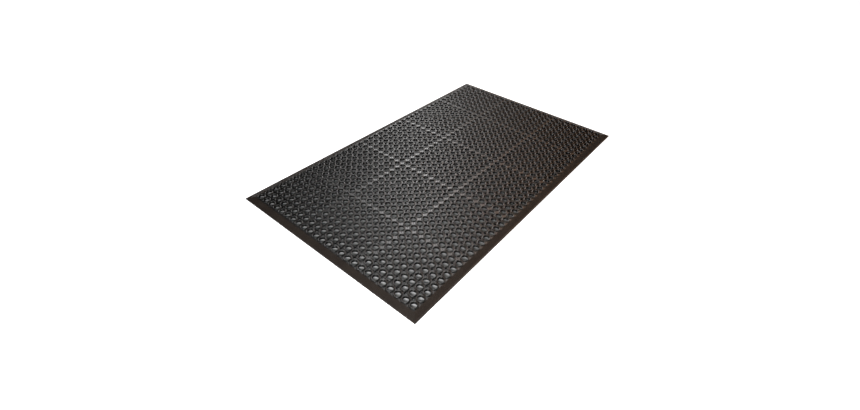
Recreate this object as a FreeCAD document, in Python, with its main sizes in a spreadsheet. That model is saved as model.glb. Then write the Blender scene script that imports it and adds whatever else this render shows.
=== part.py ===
"""Drainage-type anti-fatigue mat: fifteen perforated deck modules inside four bevelled ramps.

Frame: origin at the middle of the mat on the floor, +X along the long side, +Y across, +Z up.
All sizes are in millimetres.
"""
import FreeCAD, Part
import Sketcher
import math
import os

# name of each driving size, its value and what it is
SIZES = (
    ("modules_long", 5, "square modules along the mat"),
    ("modules_wide", 3, "square modules across the mat"),
    ("cells_per_module", 9, "hole pitches along one side of a module"),
    ("cell_pitch", 34.1, "spacing of the large holes, both ways"),
    ("ramp_width", 28.85, "width of the bevelled edge strip"),
    ("total_thickness", 12.7, "floor to the top of the rims"),
    ("foot_height", 3.0, "studs that hold the web off the floor"),
    ("foot_diameter", 6.0, "stud diameter"),
    ("rim_rise", 3.0, "height of a rim above the web"),
    ("rim_gap", 0.9, "clearance between neighbouring rims"),
    ("rim_wall", 5.1, "wall of a rim, from its outside to the hole"),
    ("rim_chamfer", 0.8, "broken edge inside and outside the top of a rim"),
    ("drain_diameter", 12.0, "small hole between four rims"),
    ("lip_width", 5.0, "nearly flat outer strip of the ramp"),
    ("lip_edge_height", 2.4, "thickness at the outermost edge"),
    ("lip_rise", 0.6, "how much the lip climbs to its inner side"),
    ("lip_groove_width", 1.2, "groove between the lip and the slope"),
    ("lip_groove_depth", 0.4, "depth of that groove"),
)

PITCH = "sizes.cell_pitch"
DECK_LENGTH = f"((sizes.modules_long * sizes.cells_per_module - 2) * {PITCH})"
DECK_WIDTH = f"((sizes.modules_wide * sizes.cells_per_module - 2) * {PITCH})"
MAT_LENGTH = f"({DECK_LENGTH} + 2 * sizes.ramp_width)"
MAT_WIDTH = f"({DECK_WIDTH} + 2 * sizes.ramp_width)"
WEB_TOP = "(sizes.total_thickness - sizes.rim_rise)"
RIM_RADIUS = f"(({PITCH} - sizes.rim_gap) / 2)"
HOLE_RADIUS = f"({RIM_RADIUS} - sizes.rim_wall)"
OVERCUT = "1"
VOLUME_TOLERANCE = 0.001

doc = FreeCAD.newDocument("anti_fatigue_mat")
sheet = doc.addObject("Spreadsheet::Sheet", "sizes")
for row, (alias, value, meaning) in enumerate(SIZES, start=1):
    sheet.set(f"A{row}", meaning)
    sheet.set(f"B{row}", str(value))
    sheet.setAlias(f"B{row}", alias)
doc.recompute()


def value_of(expression):
    """Number that an expression on the sheet gives."""
    result = sheet.evalExpression(expression)
    return float(getattr(result, "Value", result))


def origin_feature(body, role):
    """Plane or axis of the body's own origin."""
    return next(item for item in body.Origin.OriginFeatures if item.Role == role)


def new_sketch(body, name, role, offset=("0", "0", "0")):
    """Sketch on one of the body's origin planes, moved by three expressions."""
    sketch = body.newObject("Sketcher::SketchObject", name)
    sketch.AttachmentSupport = [(origin_feature(body, role), "")]
    sketch.MapMode = "FlatFace"
    for axis, expression in zip("xyz", offset):
        sketch.setExpression(f"AttachmentOffset.Base.{axis}", expression)
    return sketch


def bind(sketch, constraint, name, expression):
    """Add a dimension to a sketch and tie it to the sheet."""
    index = sketch.addConstraint(constraint)
    sketch.renameConstraint(index, name)
    sketch.setExpression(f"Constraints.{name}", expression)


def pin(sketch, geometry, position, tag, place):
    """Fix one point of a sketch at the place that two expressions give."""
    across, up = (value_of(expression) for expression in place)
    if across == 0 and up == 0:
        sketch.addConstraint(Sketcher.Constraint("Coincident", geometry, position, -1, 1))
        return
    if across == 0:
        sketch.addConstraint(Sketcher.Constraint("PointOnObject", geometry, position, -2))
    else:
        dimension = Sketcher.Constraint("DistanceX", -1, 1, geometry, position, across)
        bind(sketch, dimension, f"{tag}_across", place[0])
    if up == 0:
        sketch.addConstraint(Sketcher.Constraint("PointOnObject", geometry, position, -1))
    else:
        dimension = Sketcher.Constraint("DistanceY", -1, 1, geometry, position, up)
        bind(sketch, dimension, f"{tag}_up", place[1])


def draw_outline(sketch, corners, tag="corner"):
    """Closed outline of straight lines through corners given as pairs of expressions."""
    first = sketch.GeometryCount
    count = len(corners)
    points = [FreeCAD.Vector(value_of(x), value_of(y), 0) for x, y in corners]
    for index in range(count):
        line = Part.LineSegment(points[index], points[(index + 1) % count])
        sketch.addGeometry(line, False)
    for index in range(count):
        following = first + (index + 1) % count
        joint = Sketcher.Constraint("Coincident", first + index, 2, following, 1)
        sketch.addConstraint(joint)
        pin(sketch, first + index, 1, f"{tag}{index}", corners[index])


def draw_circle(sketch, centre, radius):
    """Circle whose centre and radius come from expressions."""
    middle = FreeCAD.Vector(value_of(centre[0]), value_of(centre[1]), 0)
    upwards = FreeCAD.Vector(0, 0, 1)
    circle = sketch.addGeometry(Part.Circle(middle, upwards, value_of(radius)), False)
    pin(sketch, circle, 3, "centre", centre)
    dimension = Sketcher.Constraint("Radius", circle, value_of(radius))
    bind(sketch, dimension, "radius", radius)


def repeat_in_grid(body, feature, name, count_x, count_y):
    """Repeat a feature on the cell grid, and make the grid the body's tip."""
    grid = body.newObject("PartDesign::MultiTransform", name)
    grid.Originals = [feature]
    steps = []
    for axis, count in (("X", count_x), ("Y", count_y)):
        step = body.newObject("PartDesign::LinearPattern", f"{name}_along_{axis}")
        step.Direction = (origin_feature(body, f"{axis}_Axis"), [""])
        step.setExpression("Occurrences", count)
        step.setExpression("Length", f"({count} - 1) * {PITCH}")
        steps.append(step)
    grid.Transformations = steps
    body.Tip = grid
    return grid


def check_change(body, name, before, expected):
    """Stop unless the last feature changed the volume by what its sizes say."""
    doc.recompute()
    change = body.Shape.Volume - before
    if abs(change - expected) > VOLUME_TOLERANCE * abs(expected):
        raise ValueError(f"{body.Label}: {name} changed {change:.1f}, not {expected:.1f} mm3")
    return body.Shape.Volume


def add_web(body, cells_x, cells_y):
    """Flat web that carries the rims, raised to the height of the feet."""
    sketch = new_sketch(body, "web_outline", "XY_Plane", ("0", "0", "sizes.foot_height"))
    far_x = f"{cells_x} * {PITCH}"
    far_y = f"{cells_y} * {PITCH}"
    draw_outline(sketch, (("0", "0"), (far_x, "0"), (far_x, far_y), ("0", far_y)))
    web = body.newObject("PartDesign::Pad", "web")
    web.Profile = sketch
    web.setExpression("Length", f"{WEB_TOP} - sizes.foot_height")
    volume = f"{far_x} * {far_y} * ({WEB_TOP} - sizes.foot_height)"
    return check_change(body, "web", 0, value_of(volume))


def add_rims(body, cells_x, cells_y, before):
    """One raised disc for each large hole, with its outer top edge broken."""
    centre = (f"{PITCH} / 2", "0", f"-{PITCH} / 2")
    sketch = new_sketch(body, "rim_section", "XZ_Plane", centre)
    shoulder = f"{RIM_RADIUS} - sizes.rim_chamfer"
    corners = (
        ("0", WEB_TOP),
        (RIM_RADIUS, WEB_TOP),
        (RIM_RADIUS, "sizes.total_thickness - sizes.rim_chamfer"),
        (shoulder, "sizes.total_thickness"),
        ("0", "sizes.total_thickness"),
    )
    draw_outline(sketch, corners)
    rim = body.newObject("PartDesign::Revolution", "rim")
    rim.Profile = sketch
    rim.ReferenceAxis = (sketch, ["V_Axis"])
    rim.Angle = 360
    repeat_in_grid(body, rim, "rims", cells_x, cells_y)
    outer = value_of(RIM_RADIUS)
    inner = value_of(shoulder)
    chamfer = value_of("sizes.rim_chamfer")
    straight = math.pi * outer**2 * (value_of("sizes.rim_rise") - chamfer)
    cone = math.pi * chamfer * (outer**2 + outer * inner + inner**2) / 3
    count = value_of(cells_x) * value_of(cells_y)
    return check_change(body, "rims", before, count * (straight + cone))


def cut_holes(body, cells_x, cells_y, before):
    """Large hole through each rim and the web, opened at the mouth by a chamfer."""
    centre = (f"{PITCH} / 2", "0", f"-{PITCH} / 2")
    sketch = new_sketch(body, "hole_section", "XZ_Plane", centre)
    mouth = f"{HOLE_RADIUS} + sizes.rim_chamfer + {OVERCUT}"
    top = f"sizes.total_thickness + {OVERCUT}"
    corners = (
        ("0", "0"),
        (HOLE_RADIUS, "0"),
        (HOLE_RADIUS, "sizes.total_thickness - sizes.rim_chamfer"),
        (mouth, top),
        ("0", top),
    )
    draw_outline(sketch, corners)
    hole = body.newObject("PartDesign::Groove", "hole")
    hole.Profile = sketch
    hole.ReferenceAxis = (sketch, ["V_Axis"])
    hole.Angle = 360
    repeat_in_grid(body, hole, "holes", cells_x, cells_y)
    inner = value_of(HOLE_RADIUS)
    chamfer = value_of("sizes.rim_chamfer")
    outer = inner + chamfer
    depth = value_of("sizes.total_thickness - sizes.foot_height") - chamfer
    cone = math.pi * chamfer * (outer**2 + outer * inner + inner**2) / 3
    count = value_of(cells_x) * value_of(cells_y)
    removed = count * (math.pi * inner**2 * depth + cone)
    return check_change(body, "holes", before, -removed)


def cut_drains(body, cells_x, cells_y, before):
    """Small hole between each four rims that lie inside the module."""
    sketch = new_sketch(body, "drain_outline", "XY_Plane")
    draw_circle(sketch, (PITCH, PITCH), "sizes.drain_diameter / 2")
    drain = body.newObject("PartDesign::Pocket", "drain")
    drain.Profile = sketch
    drain.Type = "ThroughAll"
    drain.Reversed = True
    repeat_in_grid(body, drain, "drains", f"{cells_x} - 1", f"{cells_y} - 1")
    one = math.pi * value_of("sizes.drain_diameter / 2") ** 2
    one *= value_of(f"{WEB_TOP} - sizes.foot_height")
    count = (value_of(cells_x) - 1) * (value_of(cells_y) - 1)
    return check_change(body, "drains", before, -count * one)


def add_feet(body, name, centre, count_x, count_y, before):
    """Short round studs under the web, midway between neighbouring large holes."""
    sketch = new_sketch(body, f"{name}_outline", "XY_Plane")
    draw_circle(sketch, centre, "sizes.foot_diameter / 2")
    foot = body.newObject("PartDesign::Pad", f"{name}_foot")
    foot.Profile = sketch
    foot.setExpression("Length", "sizes.foot_height")
    repeat_in_grid(body, foot, f"{name}_feet", count_x, count_y)
    one = math.pi * value_of("sizes.foot_diameter / 2") ** 2 * value_of("sizes.foot_height")
    count = value_of(count_x) * value_of(count_y)
    return check_change(body, f"{name} feet", before, count * one)


def make_module(label, cells_x, cells_y):
    """Deck module: web, rims, large holes, small drains and feet, all one moulding."""
    body = doc.addObject("PartDesign::Body", label)
    body.Label = label
    volume = add_web(body, cells_x, cells_y)
    volume = add_rims(body, cells_x, cells_y, volume)
    volume = cut_holes(body, cells_x, cells_y, volume)
    volume = cut_drains(body, cells_x, cells_y, volume)
    beside = (PITCH, f"{PITCH} / 2")
    volume = add_feet(body, "crosswise", beside, f"{cells_x} - 1", cells_y, volume)
    behind = (f"{PITCH} / 2", PITCH)
    add_feet(body, "lengthwise", behind, cells_x, f"{cells_y} - 1", volume)
    return body


def copy_module(label, source):
    """Another module from the same mould plate as an earlier one."""
    body = doc.addObject("PartDesign::Body", label)
    body.Label = label
    base = body.newObject("PartDesign::FeatureBase", f"{label}_base")
    base.BaseFeature = source
    body.Tip = base
    return body


def place(body, x, y, turn):
    """Bind a body's place to two expressions and turn it about +Z."""
    turned = FreeCAD.Rotation(FreeCAD.Vector(0, 0, 1), turn)
    body.Placement = FreeCAD.Placement(FreeCAD.Vector(0, 0, 0), turned)
    body.setExpression("Placement.Base.x", x)
    body.setExpression("Placement.Base.y", y)


def make_ramp(label, length):
    """Bevelled edge strip: lip, groove and slope, mitred at both ends."""
    width = "sizes.ramp_width"
    body = doc.addObject("PartDesign::Body", label)
    body.Label = label
    section = new_sketch(body, "section", "YZ_Plane")
    lip_top = "sizes.lip_edge_height + sizes.lip_rise"
    groove_floor = f"{lip_top} - sizes.lip_groove_depth"
    groove_end = "sizes.lip_width + sizes.lip_groove_width"
    corners = (
        ("0", "0"),
        ("0", "sizes.lip_edge_height"),
        ("sizes.lip_width", lip_top),
        ("sizes.lip_width", groove_floor),
        (groove_end, groove_floor),
        (groove_end, lip_top),
        (width, WEB_TOP),
        (width, "0"),
    )
    draw_outline(section, corners)
    strip = body.newObject("PartDesign::Pad", "strip")
    strip.Profile = section
    strip.setExpression("Length", length)
    doc.recompute()
    whole = body.Shape.Volume
    inwards = body.Shape.CenterOfGravity.y
    mitres = new_sketch(body, "mitre_outlines", "XY_Plane")
    left = (("0", "0"), ("0", width), (width, width))
    right = ((length, "0"), (length, width), (f"{length} - {width}", width))
    draw_outline(mitres, left, "left")
    draw_outline(mitres, right, "right")
    mitre = body.newObject("PartDesign::Pocket", "mitre")
    mitre.Profile = mitres
    mitre.Type = "ThroughAll"
    mitre.Reversed = True
    check_change(body, "mitres", whole, -2 * whole / value_of(length) * inwards)
    return body


def make_modules():
    """All modules, row by row; a module that only differs by a half turn is a copy."""
    columns = int(value_of("sizes.modules_long"))
    rows = int(value_of("sizes.modules_wide"))
    made = {}
    modules = []
    for row in range(rows):
        for column in range(columns):
            label = f"deck_row{row + 1}_column{column + 1}"
            ends = (column == 0, column == columns - 1, row == 0, row == rows - 1)
            turned_ends = (ends[1], ends[0], ends[3], ends[2])
            cells_x = f"(sizes.cells_per_module - {ends[0] + ends[1]})"
            cells_y = f"(sizes.cells_per_module - {ends[2] + ends[3]})"
            before_x = f"({column} * sizes.cells_per_module - {int(column > 0)})"
            before_y = f"({row} * sizes.cells_per_module - {int(row > 0)})"
            near_x = f"{before_x} * {PITCH} - {DECK_LENGTH} / 2"
            near_y = f"{before_y} * {PITCH} - {DECK_WIDTH} / 2"
            if ends in made:
                body = copy_module(label, made[ends])
                place(body, near_x, near_y, 0)
            elif turned_ends in made:
                body = copy_module(label, made[turned_ends])
                far_x = f"{near_x} + {cells_x} * {PITCH}"
                far_y = f"{near_y} + {cells_y} * {PITCH}"
                place(body, far_x, far_y, 180)
            else:
                body = make_module(label, cells_x, cells_y)
                place(body, near_x, near_y, 0)
                made[ends] = body
            modules.append(body)
    return modules


def make_ramps():
    """Four ramps that frame the deck and meet at its corners."""
    half_x = f"{MAT_LENGTH} / 2"
    half_y = f"{MAT_WIDTH} / 2"
    sides = (
        ("ramp_front", MAT_LENGTH, f"-{half_x}", f"-{half_y}", 0),
        ("ramp_right", MAT_WIDTH, half_x, f"-{half_y}", 90),
        ("ramp_back", MAT_LENGTH, half_x, half_y, 180),
        ("ramp_left", MAT_WIDTH, f"-{half_x}", half_y, 270),
    )
    ramps = []
    for label, length, x, y, turn in sides:
        ramp = make_ramp(label, length)
        place(ramp, x, y, turn)
        ramps.append(ramp)
    return ramps


def check_document(bodies):
    """Stop on any failed object, or on a sub-part that isn't one valid solid."""
    for item in doc.Objects:
        if "Invalid" in item.State or "Error" in item.State:
            raise ValueError(f"{item.Label} is {item.State}")
    for body in bodies:
        shape = body.Shape
        if shape.isNull() or not shape.isValid() or len(shape.Solids) != 1:
            raise ValueError(f"{body.Label} isn't one valid solid")


sub_parts = make_modules() + make_ramps()
doc.recompute()
check_document(sub_parts)
os.makedirs("parts", exist_ok=True)
for sub_part in sub_parts:
    sub_part.Shape.exportStep(os.path.join("parts", f"{sub_part.Label}.step"))
    print(sub_part.Label, round(sub_part.Shape.Volume))
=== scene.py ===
import math

import bmesh
import bpy
from mathutils import Matrix, Vector


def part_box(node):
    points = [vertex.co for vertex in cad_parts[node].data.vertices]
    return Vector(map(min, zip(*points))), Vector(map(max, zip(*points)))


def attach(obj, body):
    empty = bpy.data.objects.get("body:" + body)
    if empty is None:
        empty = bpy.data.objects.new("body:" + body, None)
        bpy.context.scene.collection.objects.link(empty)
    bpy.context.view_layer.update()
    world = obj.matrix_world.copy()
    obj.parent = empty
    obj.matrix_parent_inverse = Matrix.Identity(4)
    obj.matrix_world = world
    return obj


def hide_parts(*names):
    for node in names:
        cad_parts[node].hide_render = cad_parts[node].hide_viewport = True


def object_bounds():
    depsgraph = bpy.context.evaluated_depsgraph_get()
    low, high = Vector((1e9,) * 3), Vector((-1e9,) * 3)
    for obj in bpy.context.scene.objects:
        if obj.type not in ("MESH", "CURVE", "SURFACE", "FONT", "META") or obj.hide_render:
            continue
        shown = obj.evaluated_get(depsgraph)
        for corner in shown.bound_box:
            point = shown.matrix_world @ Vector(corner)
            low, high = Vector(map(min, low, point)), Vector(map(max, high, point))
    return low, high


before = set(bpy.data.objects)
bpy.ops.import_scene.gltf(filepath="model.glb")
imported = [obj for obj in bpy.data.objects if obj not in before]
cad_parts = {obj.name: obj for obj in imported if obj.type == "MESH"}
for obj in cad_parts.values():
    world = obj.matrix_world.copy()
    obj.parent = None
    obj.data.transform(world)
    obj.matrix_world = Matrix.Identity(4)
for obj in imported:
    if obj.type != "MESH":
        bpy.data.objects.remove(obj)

bl_info = {
    "name": "Rubber Drainage Mat",
    "version": (1, 0, 0),
    "blender": (4, 5, 0),
    "location": "View3D > Sidebar > Mat",
    "description": "Builds a perforated anti-fatigue mat with rims, drains, feet and ribbed ramps",
    "category": "Object",
}

MM = 0.001
CAD_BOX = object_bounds()
ROWS = 3
COLUMNS = 5
CELLS_PER_MODULE = 9
MIDDLE_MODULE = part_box("deck_row2_column2")
PITCH = (MIDDLE_MODULE[1].x - MIDDLE_MODULE[0].x) / CELLS_PER_MODULE
TOP = MIDDLE_MODULE[1].z
WEB_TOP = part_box("ramp_front")[1].z
RAMP_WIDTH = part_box("ramp_front")[1].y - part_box("ramp_front")[0].y
RIM_SEGMENTS = 16
DRAIN_SEGMENTS = 12
FOOT_SEGMENTS = 8
WELD = 0.002 * MM
SHARP_EDGE = math.radians(55)
FOOT_SUNK = 0.3 * MM
FOOT_TIP_SHARE = 0.84
FACES_UP = 0.5
FLOOR_SPAN = 30


class MatSizes(bpy.types.PropertyGroup):
    """Sizes of the mat's repeated details."""

    rim_gap: bpy.props.FloatProperty(
        name="Rim gap", description="Space between neighbouring rims",
        default=0.9 * MM, unit="LENGTH")
    rim_wall: bpy.props.FloatProperty(
        name="Rim wall", description="Width of a rim, from its outside to the hole",
        default=5.1 * MM, unit="LENGTH")
    rim_round: bpy.props.FloatProperty(
        name="Rim rounding", description="How far the top of a rim is rounded off",
        default=0.8 * MM, unit="LENGTH")
    drain_diameter: bpy.props.FloatProperty(
        name="Drain diameter", description="Small hole between four rims",
        default=12.0 * MM, unit="LENGTH")
    foot_height: bpy.props.FloatProperty(
        name="Foot height", description="Studs that hold the web off the floor",
        default=3.0 * MM, unit="LENGTH")
    foot_diameter: bpy.props.FloatProperty(
        name="Foot diameter", description="Width of a stud",
        default=6.0 * MM, unit="LENGTH")
    lip_width: bpy.props.FloatProperty(
        name="Lip width", description="Nearly flat outer strip of the ramp",
        default=5.0 * MM, unit="LENGTH")
    lip_edge: bpy.props.FloatProperty(
        name="Lip edge", description="Thickness at the outermost edge",
        default=2.4 * MM, unit="LENGTH")
    lip_rise: bpy.props.FloatProperty(
        name="Lip rise", description="How much the lip climbs to its inner side",
        default=0.6 * MM, unit="LENGTH")
    groove_width: bpy.props.FloatProperty(
        name="Groove width", description="Groove between the lip and the slope",
        default=1.2 * MM, unit="LENGTH")
    groove_depth: bpy.props.FloatProperty(
        name="Groove depth", description="Depth of the groove beside the lip",
        default=0.4 * MM, unit="LENGTH")
    grip_pitch: bpy.props.FloatProperty(
        name="Grip pitch", description="Spacing of the cross ribs on the slope",
        default=4.2625 * MM, unit="LENGTH")
    grip_line: bpy.props.FloatProperty(
        name="Grip line", description="Half width of the sunk line between two pads",
        default=0.5 * MM, unit="LENGTH")
    grip_height: bpy.props.FloatProperty(
        name="Grip height", description="Height of the small pads of the grip",
        default=0.6 * MM, unit="LENGTH")
    grip_draft: bpy.props.FloatProperty(
        name="Grip draft", description="How far the side of a pad leans in",
        default=0.15 * MM, unit="LENGTH")


class MatColours(bpy.types.PropertyGroup):
    """Colours of the rubber and of the floor it lies on, with painted shade in the grey floor
    under the mat.
    """

    rubber: bpy.props.StringProperty(
        name="Rubber", description="Carbon-black moulded rubber, sRGB hex", default="#0a0a09")
    rubber_worn: bpy.props.StringProperty(
        name="Worn rubber", description="Greyer bloom on raised edges, sRGB hex",
        default="#0e0e0d")
    # The ramp colour is a lighter, browner copy of the rubber; its extra lightness over the deck
    # rubber is painted light, standing in for how brightly the ramps catch the light.
    ramp: bpy.props.StringProperty(
        name="Ramp rubber", description="Slightly browner rubber of the ramps, sRGB hex",
        default="#28221e")
    # The ramp's bloom colour is set lighter than the deck's by the same painted light.
    ramp_bloom_and_painted_light: bpy.props.StringProperty(
        name="Worn ramp", description="Duller bloom on the ramps, sRGB hex", default="#2e2823")
    floor: bpy.props.StringProperty(
        name="Floor", description="Plain pale floor, sRGB hex", default="#fafafa")
    # Painted shade: the floor seen through the holes is drawn grey, with the mat's shadow painted
    # into its colour.
    floor_painted_shade: bpy.props.StringProperty(
        name="Floor under the mat", description="Dimmer floor seen through the holes, sRGB hex",
        default="#c8c8c8")


def linear(hex_colour):
    """sRGB hex to linear RGBA."""
    channels = [int(hex_colour[i:i + 2], 16) / 255 for i in (1, 3, 5)]
    straight = [c / 12.92 if c <= 0.04045 else ((c + 0.055) / 1.055) ** 2.4 for c in channels]
    return (*straight, 1.0)


def add_node(tree, kind, settings=None, links=None):
    """Add a node, set its sockets and properties, and link its inputs."""
    node = tree.nodes.new(kind)
    for name, value in (settings or {}).items():
        if name in node.inputs:
            node.inputs[name].default_value = value
        else:
            setattr(node, name, value)
    for name, source in (links or {}).items():
        tree.links.new(source, node.inputs[name])
    return node


def moulded_rubber(name, colour, worn_colour, roughness):
    """Compression-moulded black rubber: satin skin, fine mould grain, faint grey bloom."""
    material = bpy.data.materials.new(name)
    material.use_nodes = True
    tree = material.node_tree
    tree.nodes.clear()
    place = add_node(tree, "ShaderNodeTexCoord").outputs["Object"]
    cloud = add_node(tree, "ShaderNodeTexNoise",
                     {"Scale": 1 / (60 * MM), "Detail": 3.0}, {"Vector": place})
    grain = add_node(tree, "ShaderNodeTexNoise",
                     {"Scale": 1 / (1.2 * MM), "Detail": 4.0}, {"Vector": place})
    bloom = add_node(tree, "ShaderNodeMapRange",
                     {"From Min": 0.35, "From Max": 0.7}, {"Value": cloud.outputs["Fac"]})
    blend = add_node(tree, "ShaderNodeMix",
                     {"data_type": "RGBA"}, {"Factor": bloom.outputs["Result"]})
    blend.inputs[6].default_value = linear(colour)
    blend.inputs[7].default_value = linear(worn_colour)
    rough = add_node(tree, "ShaderNodeMapRange",
                     {"To Min": roughness - 0.07, "To Max": roughness + 0.07},
                     {"Value": grain.outputs["Fac"]})
    bump = add_node(tree, "ShaderNodeBump", {"Strength": 0.25, "Distance": 0.1 * MM},
                    {"Height": grain.outputs["Fac"]})
    shader = add_node(tree, "ShaderNodeBsdfPrincipled", {"IOR": 1.52},
                      {"Base Color": blend.outputs[2], "Roughness": rough.outputs["Result"],
                       "Normal": bump.outputs["Normal"]})
    add_node(tree, "ShaderNodeOutputMaterial", None, {"Surface": shader.outputs["BSDF"]})
    return material


def pale_floor(name, colour, glow):
    """Plain matt floor; a glow keeps a seamless studio sweep evenly white. Given a grey colour and
    no glow, it is the painted shade under the mat.
    """
    material = bpy.data.materials.new(name)
    material.use_nodes = True
    tree = material.node_tree
    tree.nodes.clear()
    shader = add_node(tree, "ShaderNodeBsdfPrincipled",
                      {"Base Color": linear(colour), "Roughness": 0.9,
                       "Specular IOR Level": 0.2, "Emission Color": linear(colour),
                       "Emission Strength": glow})
    add_node(tree, "ShaderNodeOutputMaterial", None, {"Surface": shader.outputs["BSDF"]})
    return material


def finish_piece(bm, name, material, replaced):
    """Turn a bmesh into a shown piece that stands for a CAD node."""
    bmesh.ops.recalc_face_normals(bm, faces=bm.faces[:])
    mesh = bpy.data.meshes.new(name)
    bm.to_mesh(mesh)
    bm.free()
    mesh.shade_smooth()
    mesh.set_sharp_from_angle(angle=SHARP_EDGE)
    mesh.materials.append(material)
    piece = bpy.data.objects.new(name, mesh)
    bpy.context.scene.collection.objects.link(piece)
    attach(piece, "root")
    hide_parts(replaced)
    return piece


def rim_profile(sizes):
    """Half section of a rim and its hole, as radius and height, from outside to the underside."""
    outer = (PITCH - sizes.rim_gap) / 2
    inner = outer - sizes.rim_wall
    soft = sizes.rim_round
    return ((outer, WEB_TOP), (outer, TOP - soft), (outer - soft, TOP),
            (inner + soft, TOP), (inner, TOP - soft), (inner, sizes.foot_height))


def spin_profile(bm, profile, segments, turn):
    """Full turn of a profile about +Z; the first copy stands at the angle given."""
    spoke = Vector((math.cos(turn), math.sin(turn), 0))
    points = [bm.verts.new(spoke * radius + Vector((0, 0, height))) for radius, height in profile]
    edges = [bm.edges.new(pair) for pair in zip(points, points[1:])]
    bmesh.ops.spin(bm, geom=points + edges, cent=(0, 0, 0), axis=(0, 0, 1),
                   angle=math.tau, steps=segments, use_merge=True, use_duplicate=False)


def cell_border(bm, half, radius, drains):
    """Border of one cell at the web's top: quarter drains or plain corners, and sides."""
    edges = []
    ends = []
    for (side_x, side_y), drained in drains.items():
        corner = Vector((side_x * half, side_y * half, WEB_TOP))
        circle = bmesh.ops.create_circle(bm, segments=DRAIN_SEGMENTS, radius=radius,
                                         matrix=Matrix.Translation(corner))["verts"]
        outside = [v for v in circle if (v.co - corner).x * side_x > WELD
                   or (v.co - corner).y * side_y > WELD]
        bmesh.ops.delete(bm, geom=outside, context="VERTS")
        arc = [v for v in circle if v.is_valid]
        edges += {edge for v in arc for edge in v.link_edges}
        ends += [v for v in arc if len(v.link_edges) == 1]
        if not drained:
            for v in arc:
                across, along = abs(v.co.x - corner.x), abs(v.co.y - corner.y)
                v.co.x = corner.x - side_x * max(0, across - along)
                v.co.y = corner.y - side_y * max(0, along - across)
    for axis in (0, 1):
        for side in (-1, 1):
            pair = [v for v in ends if abs(v.co[axis] - side * half) < WELD]
            edges.append(bmesh.ops.contextual_create(bm, geom=pair)["edges"][0])
    return edges


def cell_mesh(name, sizes, drains, borders):
    """One cell: rim and hole, web above and below, drain walls and outer walls."""
    half = PITCH / 2
    bm = bmesh.new()
    border = cell_border(bm, half, sizes.drain_diameter / 2, drains)
    diagonal = math.radians(45)
    profile = rim_profile(sizes)
    spin_profile(bm, profile, RIM_SEGMENTS, diagonal)
    rim_foot = loop_at(bm, *profile[0])
    hole_foot = loop_at(bm, *profile[-1])
    bmesh.ops.triangle_fill(bm, edges=border + rim_foot, use_beauty=True)
    walls = bmesh.ops.extrude_edge_only(bm, edges=border)["geom"]
    lower = [item for item in walls if isinstance(item, bmesh.types.BMVert)]
    for vert in lower:
        vert.co.z = sizes.foot_height
    lower_edges = [item for item in walls if isinstance(item, bmesh.types.BMEdge)
                   and all(abs(v.co.z - sizes.foot_height) < WELD for v in item.verts)]
    shared = []
    for face in [item for item in walls if isinstance(item, bmesh.types.BMFace)]:
        for (axis, side), outer in borders.items():
            on_side = all(abs(v.co[axis] - side * half) < WELD for v in face.verts)
            if on_side and not outer:
                shared.append(face)
    bmesh.ops.triangle_fill(bm, edges=lower_edges + hole_foot, use_beauty=True)
    bmesh.ops.delete(bm, geom=shared, context="FACES_ONLY")
    mesh = bpy.data.meshes.new(name)
    bm.to_mesh(mesh)
    bm.free()
    return mesh


def loop_at(bm, radius, height):
    """Edges of a spun profile that lie at one radius and height."""
    def lies_there(v):
        return abs(v.co.xy.length - radius) < WELD and abs(v.co.z - height) < WELD
    return [edge for edge in bm.edges if all(lies_there(v) for v in edge.verts)]


def foot_mesh(sizes):
    """Short round stud, set a little into the web."""
    bm = bmesh.new()
    depth = sizes.foot_height + FOOT_SUNK
    middle = Matrix.Translation((0, 0, depth / 2))
    bmesh.ops.create_cone(bm, cap_ends=True, segments=FOOT_SEGMENTS, depth=depth, matrix=middle,
                          radius1=sizes.foot_diameter / 2 * FOOT_TIP_SHARE,
                          radius2=sizes.foot_diameter / 2)
    mesh = bpy.data.meshes.new("foot")
    bm.to_mesh(mesh)
    bm.free()
    return mesh


def add_copy(bm, mesh, offset):
    """Add a mesh to a bmesh, moved by an offset."""
    known = len(bm.verts)
    bm.from_mesh(mesh)
    bm.verts.ensure_lookup_table()
    bmesh.ops.translate(bm, vec=offset, verts=bm.verts[known:])


def deck_module(row, column, sizes, cells, foot, material):
    """One perforated module, tiled from cell meshes, in place of its CAD node."""
    node = f"deck_row{row + 1}_column{column + 1}"
    low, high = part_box(node)
    count_x = round((high.x - low.x) / PITCH)
    count_y = round((high.y - low.y) / PITCH)
    bm = bmesh.new()
    for across in range(count_x):
        for along in range(count_y):
            borders = {(0, -1): across == 0, (0, 1): across == count_x - 1,
                       (1, -1): along == 0, (1, 1): along == count_y - 1}
            drains = {(sx, sy): not (borders[(0, sx)] or borders[(1, sy)])
                      for sx in (-1, 1) for sy in (-1, 1)}
            key = tuple(borders.values())
            if key not in cells:
                cells[key] = cell_mesh("cell", sizes, drains, borders)
            centre = Vector((low.x + (across + 0.5) * PITCH, low.y + (along + 0.5) * PITCH, 0))
            add_copy(bm, cells[key], centre)
            if across < count_x - 1:
                add_copy(bm, foot, centre + Vector((PITCH / 2, 0, 0)))
            if along < count_y - 1:
                add_copy(bm, foot, centre + Vector((0, PITCH / 2, 0)))
    bmesh.ops.remove_doubles(bm, verts=bm.verts[:], dist=WELD)
    return finish_piece(bm, f"rubber_{node}", material, node)


def ramp_section(width, sizes):
    """Closed outline across a ramp: edge, lip, groove, slope in grip steps, and underside."""
    lip_top = sizes.lip_edge + sizes.lip_rise
    groove_floor = lip_top - sizes.groove_depth
    slope_start = sizes.lip_width + sizes.groove_width
    run, rise = width - slope_start, WEB_TOP - lip_top
    steps = max(1, round(math.hypot(run, rise) / sizes.grip_pitch))
    slope = [(slope_start + run * step / steps, lip_top + rise * step / steps)
             for step in range(steps + 1)]
    return [(0, 0), (0, sizes.lip_edge), (sizes.lip_width, lip_top),
            (sizes.lip_width, groove_floor), (slope_start, groove_floor), *slope, (width, 0)]


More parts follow.
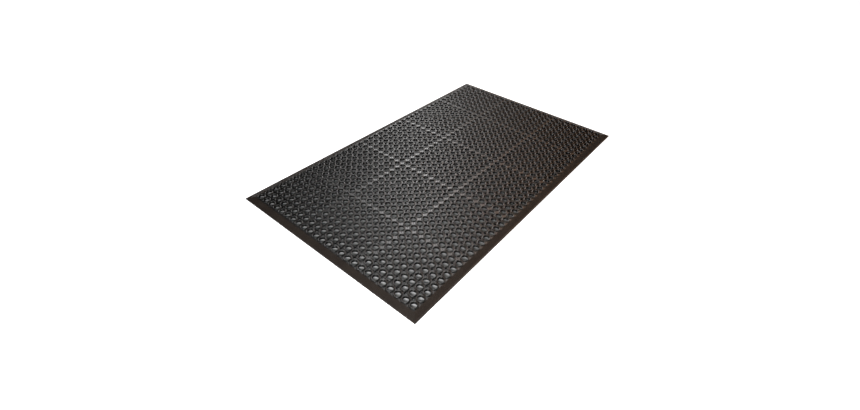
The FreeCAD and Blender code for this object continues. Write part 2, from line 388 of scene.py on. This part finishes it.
def ramp_strip(node, turn, sizes, material):
    """One ramp: its section drawn out along the edge in grip steps, ribbed and mitred."""
    low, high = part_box(node)
    length = max(high.x - low.x, high.y - low.y)
    width = min(high.x - low.x, high.y - low.y)
    columns = math.ceil(length / sizes.grip_pitch) + 2
    start = -columns * sizes.grip_pitch / 2
    bm = bmesh.new()
    points = [bm.verts.new((start, y, z)) for y, z in ramp_section(width, sizes)]
    edges = [bm.edges.new(pair) for pair in zip(points, points[1:] + points[:1])]
    bmesh.ops.spin(bm, geom=points + edges, cent=(0, 0, 0), axis=(0, 0, 1), angle=0,
                   dvec=(sizes.grip_pitch, 0, 0), steps=columns, use_duplicate=False)
    bmesh.ops.holes_fill(bm, edges=[edge for edge in bm.edges if edge.is_boundary], sides=0)
    bmesh.ops.recalc_face_normals(bm, faces=bm.faces[:])
    add_grip(bm, sizes)
    mitre(bm, length)
    middle = Vector(((low.x + high.x) / 2, (low.y + high.y) / 2, 0))
    outward = Matrix.Rotation(turn, 4, "Z")
    shift = Matrix.Translation(middle) @ outward @ Matrix.Translation((0, -width / 2, 0))
    bmesh.ops.transform(bm, matrix=shift, verts=bm.verts[:])
    return finish_piece(bm, f"rubber_{node}", material, node)


def add_grip(bm, sizes):
    """Small raised pads on the slope, and dashes across the lip."""
    slope_start = sizes.lip_width + sizes.groove_width
    topside = [face for face in bm.faces if face.normal.z > FACES_UP]
    pads = [face for face in topside if face.calc_center_median().y > slope_start]
    dashes = [face for face in topside if face.calc_center_median().y < sizes.lip_width]
    raised = pads + dashes
    bmesh.ops.inset_individual(bm, faces=raised, thickness=sizes.grip_line, depth=0)
    bmesh.ops.inset_individual(bm, faces=raised, thickness=sizes.grip_draft,
                               depth=sizes.grip_height)


def mitre(bm, length):
    """Cut both ends at 45 degrees."""
    for side in (-1, 1):
        tip = Vector((side * length / 2, 0, 0))
        normal = Vector((side, 1, 0)).normalized()
        cut = bmesh.ops.bisect_plane(bm, geom=bm.verts[:] + bm.edges[:] + bm.faces[:],
                                     dist=WELD, plane_co=tip, plane_no=normal,
                                     clear_outer=True)["geom_cut"]
        rim = [item for item in cut if isinstance(item, bmesh.types.BMEdge)]
        bmesh.ops.holes_fill(bm, edges=rim, sides=0)


class MAT_OT_deck(bpy.types.Operator):
    """Build the fifteen perforated deck modules"""

    bl_idname = "mat.deck"
    bl_label = "Deck modules"

    def execute(self, context):
        sizes = context.scene.mat_sizes
        colours = context.scene.mat_colours
        material = moulded_rubber("moulded_rubber_deck", colours.rubber,
                                  colours.rubber_worn, 0.34)
        cells = {}
        foot = foot_mesh(sizes)
        for row in range(ROWS):
            for column in range(COLUMNS):
                deck_module(row, column, sizes, cells, foot, material)
        return {"FINISHED"}


class MAT_OT_ramps(bpy.types.Operator):
    """Build the four bevelled ramps with their lip, groove and cross-ribbed grip"""

    bl_idname = "mat.ramps"
    bl_label = "Ramps"

    def execute(self, context):
        sizes = context.scene.mat_sizes
        colours = context.scene.mat_colours
        # Painted light: the ramps take lighter copies of the rubber colours than the deck does.
        material = moulded_rubber("ramp_rubber_painted_lighter", colours.ramp,
                                  colours.ramp_bloom_and_painted_light, 0.42)
        for quarter, side in enumerate(("front", "right", "back", "left")):
            ramp_strip(f"ramp_{side}", quarter * math.pi / 2, sizes, material)
        return {"FINISHED"}


class MAT_OT_stage(bpy.types.Operator):
    """Set up the floor, the soft lights and the camera"""

    bl_idname = "mat.stage"
    bl_label = "Stage"

    def execute(self, context):
        colours = context.scene.mat_colours
        add_floor(colours)
        add_lights()
        add_camera()
        return {"FINISHED"}


def add_floor(colours):
    """Large flat floor just under the mat, and a dimmer grey sheet inside the mat's outline whose
    colour is painted shade, standing in for the mat's shadow on the floor.
    """
    low, high = CAD_BOX
    inset = RAMP_WIDTH / 2
    painted_shade_spans = Vector((high.x - low.x - 2 * inset, high.y - low.y - 2 * inset, 1))
    whole = Vector((FLOOR_SPAN, FLOOR_SPAN, 1))
    add_sheet("floor", whole, -0.1 * MM, "matt_white_floor", colours.floor, 1.0)
    # Painted shade: grey sheet with no glow, the mat's shadow on the floor painted into its
    # colour.
    add_sheet("painted_shade_sheet_under_mat", painted_shade_spans, -0.03 * MM, "painted_shade_grey_floor", colours.floor_painted_shade, 0)


def add_sheet(name, spans, height, finish, colour, glow):
    """Flat rectangle centred under the mat, kept out of the object."""
    bm = bmesh.new()
    bmesh.ops.create_grid(bm, x_segments=1, y_segments=1, size=0.5)
    bmesh.ops.scale(bm, vec=spans, verts=bm.verts[:])
    bmesh.ops.translate(bm, vec=(0, 0, height), verts=bm.verts[:])
    mesh = bpy.data.meshes.new(name)
    bm.to_mesh(mesh)
    bm.free()
    mesh.materials.append(pale_floor(finish, colour, glow))
    sheet = bpy.data.objects.new(name, mesh)
    bpy.context.scene.collection.objects.link(sheet)


def add_softbox(name, azimuth, elevation, distance, width, height, power, colour):
    """Rectangular soft light at a compass angle from +X, aimed at the middle of the mat."""
    light = bpy.data.lights.new(name, "AREA")
    light.shape = "RECTANGLE"
    light.size = width
    light.size_y = height
    light.energy = power
    light.color = linear(colour)[:3]
    box = bpy.data.objects.new(name, light)
    turn, lift = math.radians(azimuth), math.radians(elevation)
    place = Vector((math.cos(turn) * math.cos(lift), math.sin(turn) * math.cos(lift),
                    math.sin(lift))) * distance
    box.location = place
    box.rotation_euler = (-place).to_track_quat("-Z", "Y").to_euler()
    bpy.context.scene.collection.objects.link(box)


def add_lights():
    """Soft key at the camera's left, a softbox behind the mat, dim warm fills, dark surround."""
    scene = bpy.context.scene
    scene.view_settings.view_transform = "Standard"
    world = bpy.data.worlds.new("studio")
    world.use_nodes = True
    background = world.node_tree.nodes["Background"]
    background.inputs["Color"].default_value = linear("#ffffff")
    background.inputs["Strength"].default_value = 0.004
    scene.world = world
    add_softbox("key", 205, 24, 2.4, 0.6, 0.6, 56, "#ffffff")
    add_softbox("back_softbox", 44, 38, 4.0, 1.1, 2.2, 92, "#ffffff")
    add_softbox("middle_softbox", 27, 40, 4.0, 1.0, 2.2, 12, "#ffdcc8")
    add_softbox("warm_fill", 9, 42, 4.0, 1.6, 2.2, 22, "#ffc498")


def add_camera():
    """Wide lens near the mat's front left corner, looking down across it."""
    camera = bpy.data.cameras.new("camera")
    camera.lens = 18.304
    camera.sensor_width = 36
    view = bpy.data.objects.new("camera", camera)
    view.location = (-1.3715, -0.9668, 1.1364)
    view.rotation_euler = [math.radians(angle) for angle in (50.330, -2.067, -50.343)]
    bpy.context.scene.collection.objects.link(view)
    bpy.context.scene.camera = view


class MAT_PT_panel(bpy.types.Panel):
    """Lists the steps that build the mat"""

    bl_idname = "MAT_PT_panel"
    bl_label = "Rubber Drainage Mat"
    bl_space_type = "VIEW_3D"
    bl_region_type = "UI"
    bl_category = "Mat"

    def draw(self, context):
        for operator in OPERATORS:
            self.layout.operator(operator.bl_idname)


OPERATORS = (MAT_OT_deck, MAT_OT_ramps, MAT_OT_stage)
CLASSES = (MatSizes, MatColours, *OPERATORS, MAT_PT_panel)


def register():
    for cls in CLASSES:
        bpy.utils.register_class(cls)
    bpy.types.Scene.mat_sizes = bpy.props.PointerProperty(type=MatSizes)
    bpy.types.Scene.mat_colours = bpy.props.PointerProperty(type=MatColours)


def unregister():
    del bpy.types.Scene.mat_colours
    del bpy.types.Scene.mat_sizes
    for cls in reversed(CLASSES):
        bpy.utils.unregister_class(cls)


def main():
    register()
    bpy.ops.mat.deck()
    bpy.ops.mat.ramps()
    bpy.ops.mat.stage()


if __name__ == "__main__":
    main()
